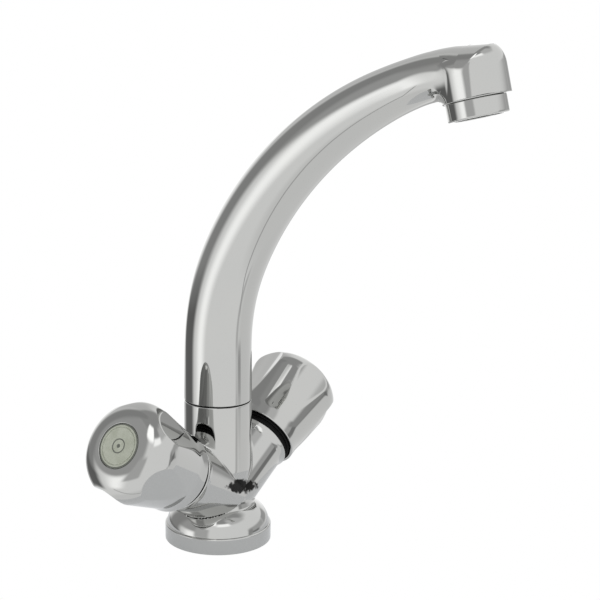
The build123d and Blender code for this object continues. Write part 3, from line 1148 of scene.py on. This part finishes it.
    def head_distance(self, points: Grid) -> Grid:
        """Signed distance of the head: a round barrel under an oval cap, with a crease that softens forwards.

        Args:
            points: Where it is wanted.

        Returns:
            One distance for each point.
        """
        local = self.head.into(points)
        barrel = np.hypot(local[..., 0], local[..., 1] + self.head_forward) - self.head_radius
        top = self.cap.into(points)
        above = np.maximum(top[..., 1] + self.cap_fall * np.maximum(-top[..., 2], 0), 0)
        oval = (np.hypot(top[..., 0] / self.head_radius, above / self.cap_height) - 1) * self.cap_height
        forwards = smooth_step((top[..., 2] - self.brow_start) / self.brow_span)
        return smooth_max(barrel, oval, self.crease + (self.brow - self.crease) * forwards)

    def blend(self, points: Grid) -> Grid:
        """Head and tube with a fillet that fades where the two run alongside, towards the top and in front.

        Args:
            points: Where it is wanted.

        Returns:
            One signed distance for each point.
        """
        head, tube = self.head_distance(points), self.tube_distance(points)
        angle = 1 - (slope(self.head_distance, points) * slope(self.tube_distance, points)).sum(axis=-1)
        local = self.cap.into(points)
        top, top_fade = self.fillet_top
        back, back_fade = self.fillet_back
        under = smooth_step((top - local[..., 1]) / top_fade)
        fade = under * smooth_step((-local[..., 2] - back) / back_fade)
        width = np.maximum(self.fillet * np.minimum(self.fillet_gain * angle, 1) * fade, LEAST_WIDTH)
        return smooth_min(head, tube, width)

    def build(self, finish: Material) -> None:
        """Makes the casting: collar, tube, head, and its inside and spigot from the CAD node.

        Args:
            finish: Its material.
        """
        shell = Shell("mixer_spout")
        self._tube(shell)
        lip = rounded([
            (self.collar_bore, 0, 0),
            (self.collar_radius, 0, self.edge),
            (self.collar_radius, 2 * self.edge, 0),
        ])
        collar = Place((0, 0, self.foot), UPRIGHT.across, UPRIGHT.along)
        shell.add_grid(*collar.turned(lip[:-1], self.columns))
        self._head(shell)
        shell.add_node("spout_casting", self._inner)
        shell.build(finish, "chrome", "spout", "spout_casting")

    def _tube(self, shell: Shell) -> None:
        """Adds the tube: an oval carried along the spine, whose last rows are carried out to the blend.

        Args:
            shell: The casting's mesh.
        """
        joint = self.length - self.joint
        distances = np.concatenate([
            np.linspace(self.edge, joint, self.rows),
            np.linspace(joint + self.joint_step, self.length, self.joint_rows),
        ])
        centre, lean = self.spine(distances)
        wide, tall, drop = self.section(distances)
        angles = round_angles(self.columns)
        side = np.array([1.0, 0, 0])
        up = np.stack([0 * lean, np.cos(lean), np.sin(lean)], axis=-1)
        centre = centre - up * drop[:, None]
        spread = np.hypot(np.cos(angles) / wide[:, None], np.sin(angles) / tall[:, None])
        rays = np.cos(angles)[None, :, None] * side + np.sin(angles)[None, :, None] * up[:, None, :]
        surface = centre[:, None, :] + rays / spread[..., None]
        normals = grid_normals(surface, centre)
        near = distances > joint
        starts = np.broadcast_to(centre[near][:, None, :], rays[near].shape)
        points, leans = skin(
            self.tube_distance, self.head_distance, self.blend, starts, rays[near], self.tube_ray,
        )
        fade = smooth_step((distances[near] - distances[near][0]) / self.joint_fade)[:, None, None]
        points = surface[near] + (points - surface[near]) * fade
        leans = unit(normals[near] + (leans - normals[near]) * fade)
        shell.add_grid(np.concatenate([surface[~near], points]), np.concatenate([normals[~near], leans]))

    def _head(self, shell: Shell) -> None:
        """Adds the head: rays from a point on its axis, from the seam's edge up to straight above.

        Args:
            shell: The casting's mesh.
        """
        low = math.atan2(self.head_seam + self.seam_edge - self.head_eye, self.head_radius)
        heights = np.linspace(low, math.pi / 2, self.head_rows)[:, None]
        angles = round_angles(self.head_columns)
        rays = around(np.cos(heights), np.sin(heights), angles) @ self.head.axes()
        eye = self.head.out(np.array([0, -self.head_forward, self.head_eye]))
        starts = np.broadcast_to(eye, rays.shape)
        shell.add_grid(*skin(self.head_distance, self.tube_distance, self.blend, starts, rays, self.head_ray))
        foot = rounded([
            (self.head_bore, self.head_seam, 0), (self.head_radius, self.head_seam, self.seam_edge),
            (self.head_radius, self.head_seam + 1, 0),
        ], step=0.3)
        middle = tuple(self.head.out(np.array([0, -self.head_forward, 0])))
        barrel = Place(middle, self.head.across, self.head.along)
        shell.add_grid(*barrel.turned(foot[:-2], self.head_columns))

    def _inner(self, points: Grid) -> Grid:
        """Which triangles of the CAD node belong to its spigot, waterway and thread.

        Args:
            points: Their middles.

        Returns:
            True for those that stay.
        """
        along = np.linspace(0, self.length, 160)
        centre, _ = self.spine(along)
        wide, _, _ = self.section(along)
        gap = np.linalg.norm(points[:, None, 1:] - centre[None, :, 1:], axis=-1)
        bore = wide[gap.argmin(axis=1)] - self.wall
        waterway = (np.hypot(points[:, 0], gap.min(axis=1)) < bore) & (points[:, 2] > self.foot + CLEAR)
        local = self.head.into(points)
        thread = np.hypot(local[:, 0], local[:, 1]) < self.head_bore + 2 * CLEAR
        return waterway | thread | (points[:, 2] < self.foot - CLEAR)


@dataclass
class Knob:
    """Flared knob with wide hollows round it."""

    arm: Arm
    turn: float
    start: float = 40.9
    skirt: float = 19.4
    straight: float = 5.5
    wall: float = 1.4
    wall_height: float = 4.0
    lip_inside: float = 0.4
    lip_outside: float = 0.5
    flare_round: float = 30.0
    rim: float = 24.1
    rim_place: float = 75.3
    rim_round: float = 4.0
    rim_spread: float = 0.75
    face: float = 12.2
    face_place: float = 86.5
    dome: float = 2.9
    seat: float = 10.65
    seat_depth: float = 1.8
    seat_edge: float = 0.25
    hub_depth: float = 9.0
    margin: float = 0.3
    count: int = 5
    cutter: float = 29.0
    low: float = 20.5
    low_place: float = 51.4
    high: float = 21.0
    soft: float = 0.5
    columns: int = 360

    def outline(self) -> Grid:
        """Outline of the knob before its hollows are cut.

        Returns:
            (radius, distance) points from inside the skirt, over its lip, up to the disc's seat.
        """
        inside = self.skirt - self.wall
        skirt = rounded([
            (inside, self.start + self.wall_height, 0),
            (inside, self.start, self.lip_inside),
            (self.skirt, self.start, self.lip_outside),
            (self.skirt, self.start + self.straight, self.flare_round),
            (self.rim, self.rim_place, 0),
        ], step=0.35)
        top = bulged((self.rim, self.rim_place), (self.face, self.face_place), self.dome, count=40)
        seat = rounded([
            (self.face, self.face_place, 0),
            (self.seat, self.face_place, self.seat_edge),
            (self.seat, self.face_place - self.seat_depth, 0),
        ], step=0.3)
        return self._ease(np.concatenate([skirt[:-1], top[:-1], seat]))

    def _ease(self, line: Grid) -> Grid:
        """Rounds the rim: points near it move to the mean of the outline within the rim's rounding.

        Args:
            line: The outline.

        Returns:
            The outline with its widest part rounded.
        """
        steps = np.concatenate([[0], np.cumsum(np.linalg.norm(np.diff(line, axis=0), axis=1))])
        at = steps[np.argmax(line[:, 0])]
        near = np.abs(steps - at) < self.rim_round
        shift = np.linspace(-1, 1, 21) * self.rim_round * self.rim_spread
        mean = np.stack([
            np.interp(steps[:, None] + shift, steps, line[:, axis]).mean(axis=1) for axis in (0, 1)
        ], axis=-1)
        share = smooth_step(1 - np.abs(steps - at) / self.rim_round)[:, None]
        return np.where(near[:, None], line + (mean - line) * share, line)

    def hollowed(self, radius: Grid, along: Grid, angles: Grid) -> Grid:
        """Radius after the hollows, each the near side of a round cutter that stands beside the knob.

        With the cutter's axis at a distance a from the knob's and at an angle t, that is a times the
        cosine of t, less the root of the cutter's radius squared less a times the sine of t squared.

        Args:
            radius: Radius of each row.
            along: Its distance along the arm.
            angles: Angle of each column.

        Returns:
            The lesser of both radii outside, and the radius itself inside the skirt and on the face.
        """
        pitch = TURN / self.count
        off = np.mod(angles + pitch / 2, pitch) - pitch / 2
        rise = self.high - self.low
        depth = self.low + rise * (along - self.low_place) / (self.face_place - self.low_place)
        axis = depth + self.cutter
        room = self.cutter ** 2 - (axis * np.sin(off)) ** 2
        hollow = np.where(room > 0, axis * np.cos(off) - np.sqrt(np.maximum(room, 0)), 2 * self.rim)
        outside = (along > self.start + self.straight) & (radius > self.face)
        return np.where(outside, smooth_min(radius + 0 * off, hollow, self.soft), radius)

    def build(self, finish: Material) -> None:
        """Makes the knob: the outline turned and hollowed, and its inside from the CAD node.

        Args:
            finish: Its material.
        """
        name = self.arm.side.word
        place = self.arm.place()
        shell = Shell(name + "_knob_shell")
        outline = self.outline()
        radius, along = outline[:, :1], outline[:, 1:]
        angles = round_angles(self.columns)
        cut = self.hollowed(radius, along, angles)
        grid = place.out(around(cut, along, angles + math.radians(self.turn)))
        shell.add_grid(grid, grid_normals(grid, place.out(along * np.array([0, 0, 1]))))
        shell.add_node(name + "_knob", self._inner)
        shell.build(finish, "chrome", name + "_knob_assembly", name + "_knob")

    def _inner(self, points: Grid) -> Grid:
        """Which triangles of the CAD node belong to its cavity, hub and screw seat.

        Args:
            points: Their middles.

        Returns:
            True for those that stay.
        """
        local = self.arm.place().into(points)
        radius, along = np.hypot(local[:, 0], local[:, 1]), local[:, 2]
        skirt = (self.start, self.start + self.wall_height + 2 * CLEAR)
        wall = np.interp(along, skirt, (0, self.skirt - self.wall + self.margin))
        cavity = (radius < wall) & (along < self.face_place - self.hub_depth)
        return cavity | ((radius < self.seat - 2 * CLEAR) & (along < self.face_place - self.margin))


@dataclass
class Outlet:
    """The aerator's housing: a plain turned ring under the head's seam, threaded into the head."""

    spout: Spout
    radius: float = 12.65
    edge: float = 0.8
    wall: float = 1.6
    lip: float = 0.9
    lip_edge: float = 0.3
    recess: float = 2.0
    recess_edge: float = 0.2
    seam: float = 7.5
    seam_edge: float = 0.4
    thread: float = 11.55
    thread_end: float = 13.6
    inner: float = 9.75

    def build(self, finish: Material) -> None:
        """Makes the housing from one closed outline.

        Args:
            finish: Its material.
        """
        mouth = self.radius - self.wall - self.lip
        outline = rounded([
            (self.inner, self.thread_end, 0),
            (self.inner, self.recess, 0),
            (mouth, self.recess, self.recess_edge),
            (mouth, 0, self.lip_edge),
            (self.radius, 0, self.edge),
            (self.radius, self.seam, self.seam_edge),
            (self.thread, self.seam, 0),
            (self.thread, self.thread_end, 0),
            (self.inner, self.thread_end, 0),
        ])
        shell = Shell("outlet_ring")
        shell.add_grid(*self.spout.head.turned(outline))
        shell.build(finish, "chrome", "spout", "aerator_housing")


@dataclass
class IndexDisc:
    """Snap-in disc with a fine groove near its edge and a short boss behind it."""

    knob: Knob
    radius: float = 10.5
    height: float = 1.8
    edge: float = 0.35
    groove: float = 9.0
    groove_width: float = 0.5
    groove_depth: float = 0.3
    groove_edge: float = 0.08
    boss: float = 5.8
    boss_wall: float = 1.2
    boss_length: float = 4.0
    back_edge: float = 0.2
    corner: float = 0.1

    def finish(self) -> Material:
        """Makes its plastic, with the mark centred on this knob's axis.

        Returns:
            The material.
        """
        arm = self.knob.arm
        middle = tuple(value * MM for value in arm.place().out(np.array([0, 0, self.knob.face_place])))
        return DiscFace("disc_plastic_" + arm.side.word, middle, arm.place().along).dress()

    def build(self) -> None:
        """Makes the disc from one closed outline that starts and ends on the axis."""
        top = self.knob.face_place
        bottom = top - self.height
        boss_inside = self.boss - self.boss_wall
        boss_end = bottom - self.boss_length
        floor = top - self.groove_depth
        inner = self.groove - self.groove_width
        outline = rounded([
            (0, bottom, 0),
            (boss_inside, bottom, self.corner),
            (boss_inside, boss_end, self.back_edge),
            (self.boss, boss_end, self.back_edge),
            (self.boss, bottom, self.corner),
            (self.radius, bottom, self.back_edge),
            (self.radius, top, self.edge),
            (self.groove, top, self.groove_edge),
            (self.groove, floor, self.groove_edge),
            (inner, floor, self.groove_edge),
            (inner, top, self.groove_edge),
            (0, top, 0),
        ], step=0.6)
        name = self.knob.arm.side.word
        shell = Shell(name + "_disc_face")
        shell.add_grid(*self.knob.arm.place().turned(outline))
        shell.build(self.finish(), "disc_plastic", name + "_knob_assembly", name + "_index_disc")


@dataclass
class Rings:
    """Dark rings: the thrust ring under the spout and one in the gap below each knob."""

    body: Body
    bore: float = 14.16
    thrust_radius: float = 16.1
    thrust_height: float = 0.6
    thrust_edge: float = 0.15
    collar: float = 16.2
    flange: float = 17.5
    flange_start: float = 40.1
    end: float = 42.2
    edge: float = 0.2
    flange_edge: float = 0.4
    inner_edge: float = 0.1

    def build(self, finish: Material) -> None:
        """Makes the three rings.

        Args:
            finish: Their material.
        """
        self._thrust(finish)
        for arm in self.body.arms:
            self._gap(finish, arm)

    def _thrust(self, finish: Material) -> None:
        """Makes the ring between column and spout.

        Args:
            finish: Its material.
        """
        foot = self.body.column_top
        top = foot + self.thrust_height
        bore = self.body.bore
        shell = Shell("spout_bearing_ring")
        shell.add_grid(*UPRIGHT.turned(rounded([
            (self.thrust_radius, foot, 0),
            (self.thrust_radius, top, self.thrust_edge),
            (bore, top, self.inner_edge),
            (bore, foot, self.inner_edge),
            (self.thrust_radius, foot, 0),
        ])))
        shell.build(finish, "black_plastic", "body", "spout_thrust_ring")

    def _gap(self, finish: Material, arm: Arm) -> None:
        """Makes the ring round one headwork: a collar on the arm's end and a wider flange over it.

        Args:
            finish: Its material.
            arm: The arm that carries it.
        """
        shell = Shell(arm.side.word + "_gap_ring")
        shell.add_grid(*arm.place().turned(rounded([
            (self.collar, arm.end, 0),
            (self.collar, self.flange_start, self.edge),
            (self.flange, self.flange_start, self.edge),
            (self.flange, self.end, self.flange_edge),
            (self.bore, self.end, self.edge),
            (self.bore, arm.end, self.inner_edge),
            (self.collar, arm.end, 0),
        ])))
        shell.build(finish, "black_plastic", "body", arm.side.word + "_skirt_ring")


@dataclass(frozen=True)
class Panel:
    """A soft panel of the studio, by its compass direction seen from the object and its elevations.

    Its grey is the light it sends, and its edge and rise are the widths over which it fades to the
    sides and up and down. All but the grey are in degrees. Azimuth 0 is behind the camera and 90 to
    the right of it. A half width of 180 goes all round, and a bound at -90 or 90 has no fade.
    """

    azimuth: float
    half: float
    low: float
    high: float
    grey: float
    edge: float = 12.0
    rise: float = 8.0

    def share(self, nodes: Nodes, way: Socket, view: float) -> Value:
        """How much of the panel lies in a direction.

        Args:
            nodes: Builder of the world's nodes.
            way: The direction.
            view: Azimuth of the camera.

        Returns:
            1 inside the panel, 0 outside, smooth over its edges.
        """
        height = nodes.dot(way, (0, 0, 1))
        tall = 1.0
        if self.low > -90:
            tall = tall * height.rises(*self._heights(self.low))
        if self.high < 90:
            tall = tall * height.falls(*self._heights(self.high))
        if self.half >= 180:
            return tall
        turn = math.radians(view + self.azimuth)
        front = nodes.dot(way, (math.sin(turn), -math.cos(turn), 0))
        side = nodes.dot(way, (math.cos(turn), math.sin(turn), 0))
        off = side.angle_from(front) * (360 / TURN)
        fade = self.edge / 2
        left = off.rises(-self.half - fade, -self.half + fade)
        right = off.falls(self.half - fade, self.half + fade)
        return left * right * tall

    def _heights(self, bound: float) -> Pair:
        """Heights on the unit sphere between which a bound fades."""
        return math.sin(math.radians(bound - self.rise / 2)), math.sin(math.radians(bound + self.rise / 2))


@dataclass
class Studio:
    """Camera, soft light and pale floor."""

    azimuth: float = -53.394
    elevation: float = 13.651
    distance: float = 650.0
    target: float = 100.0
    focus: float = 1345.03
    middle: Pair = (218.05, 340.74)
    picture: float = 600.0
    sensor: float = 36.0
    floor_radius: float = 90.0
    floor_rings: int = 12
    floor_columns: int = 96
    floor_card: Triple = (0.75, 0.75, 0.75)
    floor_glow: Triple = (0.93, 0.945, 0.97)
    floor_share: float = 0.65
    ground: float = 1.15
    panels: tuple[Panel, ...] = (
        Panel(0, 180, 56, 90, 0.47, rise=16),
        Panel(65, 32, 50, 74, 0.8, edge=20, rise=12),
        Panel(16, 20, 45, 57, 1.8, edge=14, rise=6),
        Panel(-165, 22, 13, 60, 0.82, edge=24, rise=10),
        Panel(-85, 46, 12, 62, 0.56, edge=24, rise=12),
        Panel(-29, 22, 51, 76, 2.1, edge=10, rise=8),
        Panel(-117, 22, -8, 80, 0.4, edge=20, rise=10),
        Panel(-121, 27, -33, -4, 0.19, edge=18, rise=10),
        Panel(-64, 12, -28, 9, 1.75, edge=22, rise=14),
        Panel(-38, 16, -6, 30, 0.68, edge=10, rise=8),
        Panel(180, 36, -38, -15, 0.6, edge=16, rise=5),
        Panel(184, 24, -14, 14, 1.3, edge=16, rise=4),
        Panel(116, 44, -60, -2, 0.97, edge=20),
        Panel(98, 26, -3, 13, 0.62, edge=14),
        Panel(88, 16, -12, -1, 0.3, edge=12, rise=4),
        Panel(136, 13, -3, 14, 0.55, edge=8, rise=4),
        Panel(77, 6, -16, 8, 0.45, edge=6),
        Panel(66, 4, -50, -14, 0.75, edge=6),
        Panel(0, 180, -90, -50, 1.0, rise=14),
    )
    edge_fall: float = 1.68
    edge_half: float = 0.022
    edge_grey: float = 0.6
    edge_end: Pair = (-0.55, -0.45)

    def back(self) -> Vector:
        """Direction from the target to the camera."""
        a, e = math.radians(self.azimuth), math.radians(self.elevation)
        return Vector((math.sin(a) * math.cos(e), -math.cos(a) * math.cos(e), math.sin(e)))

    def build(self) -> None:
        """Makes the camera, the surroundings and the floor."""
        data = bpy.data.cameras.new("camera")
        data.sensor_width = self.sensor
        data.lens = self.focus / self.picture * self.sensor
        data.shift_x = 0.5 - self.middle[0] / self.picture
        data.shift_y = self.middle[1] / self.picture - 0.5
        data.clip_start = 0.01
        eye = placed("camera", data)
        eye.location = Vector((0, 0, self.target * MM)) + self.back() * self.distance * MM
        eye.rotation_euler = self.back().to_track_quat("Z", "Y").to_euler()
        bpy.context.scene.camera = eye
        bpy.context.scene.view_settings.view_transform = "Standard"
        self._surroundings()
        self._floor()

    def _surroundings(self) -> None:
        """Soft panels all round, one laid over the other, and plain white straight from the camera."""
        world = bpy.data.worlds.new("studio")
        bpy.context.scene.world = world
        nodes = Nodes(world)
        way = nodes.add("ShaderNodeTexCoord").outputs["Generated"]
        light = (self.ground,) * 3
        for panel in self.panels:
            light = nodes.mix(panel.share(nodes, way, self.azimuth), light, (panel.grey,) * 3)
        light = nodes.mix(self._table_edge(nodes, way), light, (self.edge_grey,) * 3)
        seen = nodes.value(nodes.add("ShaderNodeLightPath").outputs["Is Camera Ray"])
        shown = nodes.add("ShaderNodeBackground", None, {"Color": nodes.mix(seen, light, WHITE)})
        nodes.end("ShaderNodeOutputWorld", shown)

    def _table_edge(self, nodes: Nodes, way: Socket) -> Value:
        """Thin darker line where the table ends in front, seen below the horizon.

        Args:
            nodes: Builder of the world's nodes.
            way: The direction.

        Returns:
            1 on the line, 0 elsewhere.
        """
        turn = math.radians(self.azimuth)
        above = nodes.dot(way, (math.sin(turn) * self.edge_fall, -math.cos(turn) * self.edge_fall, 1))
        half = self.edge_half
        below = nodes.dot(way, (0, 0, 1)).falls(*self.edge_end)
        return above.rises(-2 * half, -half) * above.falls(half, 2 * half) * below

    def _floor(self) -> None:
        """Pale round floor, part card and part glow, that the camera sees as white paper."""
        radii = np.linspace(0, self.floor_radius, self.floor_rings)
        grid, _ = UPRIGHT.turned(np.stack([radii[::-1], 0 * radii], axis=-1), self.floor_columns)
        mesh = bpy.data.meshes.new("floor")
        faces = cells(self.floor_rings, self.floor_columns)
        mesh.from_pydata((grid.reshape(-1, 3) * MM).tolist(), [], faces.tolist())
        made = bpy.data.materials.new("floor")
        nodes = Nodes(made)
        card = nodes.add("ShaderNodeBsdfDiffuse", None, {"Color": (*self.floor_card, 1)})
        soft = nodes.add("ShaderNodeEmission", None, {"Color": (*self.floor_glow, 1), "Strength": 1.0})
        paper = nodes.add("ShaderNodeEmission", None, {"Color": (*WHITE, 1), "Strength": 1.0})
        seen = nodes.add("ShaderNodeLightPath").outputs["Is Camera Ray"]
        lit = {0: self.floor_share, 1: card.outputs[0], 2: soft.outputs[0]}
        mixed = nodes.add("ShaderNodeMixShader", None, lit)
        both = nodes.add("ShaderNodeMixShader", None, {0: seen, 1: mixed.outputs[0], 2: paper.outputs[0]})
        nodes.end("ShaderNodeOutputMaterial", both)
        mesh.materials.append(made)
        placed("floor", mesh)


FINISHES = (
    Finish("brass", (0.62, 0.44, 0.18), (0.50, 0.35, 0.14), 1.0, (0.22, 0.38), 0.5, 0.004),
    Finish("steel", (0.55, 0.55, 0.54), (0.46, 0.46, 0.46), 1.0, (0.24, 0.4), 0.4, 0.003),
    Finish("seal_rubber", (0.022, 0.022, 0.022), (0.032, 0.031, 0.030), 0.0, (0.5, 0.75), 0.3, 0.01),
    Finish("black_plastic", (0.003,) * 3, (0.006,) * 3, 0.0, (0.5, 0.7), 0.3, 0.004, shine=0.15),
    Finish("white_plastic", (0.80, 0.80, 0.76), (0.72, 0.72, 0.68), 0.0, (0.3, 0.5), 0.4, 0.004),
)

# How far each knob is turned on its spindle, in degrees.
KNOB_TURNS = {Side.HOT: 5.6, Side.COLD: -0.3}


def dress_nodes(materials: dict[str, Material]) -> None:
    """Gives each CAD node that still shows the material of its slot.

    Args:
        materials: Material of each slot.
    """
    for row in frame["record"]["subparts"]:
        made = materials[row["material_slot"]]
        data = frame["nodes"][row["node"]].data
        data.materials.clear()
        data.materials.append(made)
        log.info("%s: %s", row["node"], made.name)


def main() -> None:
    """Builds the mixer and its studio."""
    logging.basicConfig(level=logging.INFO, format="%(message)s")
    materials = {finish.name: finish.dress() for finish in FINISHES}
    materials["chrome"] = Chrome().dress()
    materials["disc_plastic"] = materials["white_plastic"]
    dress_nodes(materials)
    body = Body()
    body.build(materials["chrome"])
    spout = Spout()
    spout.build(materials["chrome"])
    Outlet(spout).build(materials["chrome"])
    for arm in body.arms:
        knob = Knob(arm, KNOB_TURNS[arm.side])
        knob.build(materials["chrome"])
        IndexDisc(knob).build()
    Rings(body).build(materials["black_plastic"])
    Studio().build()


if __name__ == "__main__":
    main()
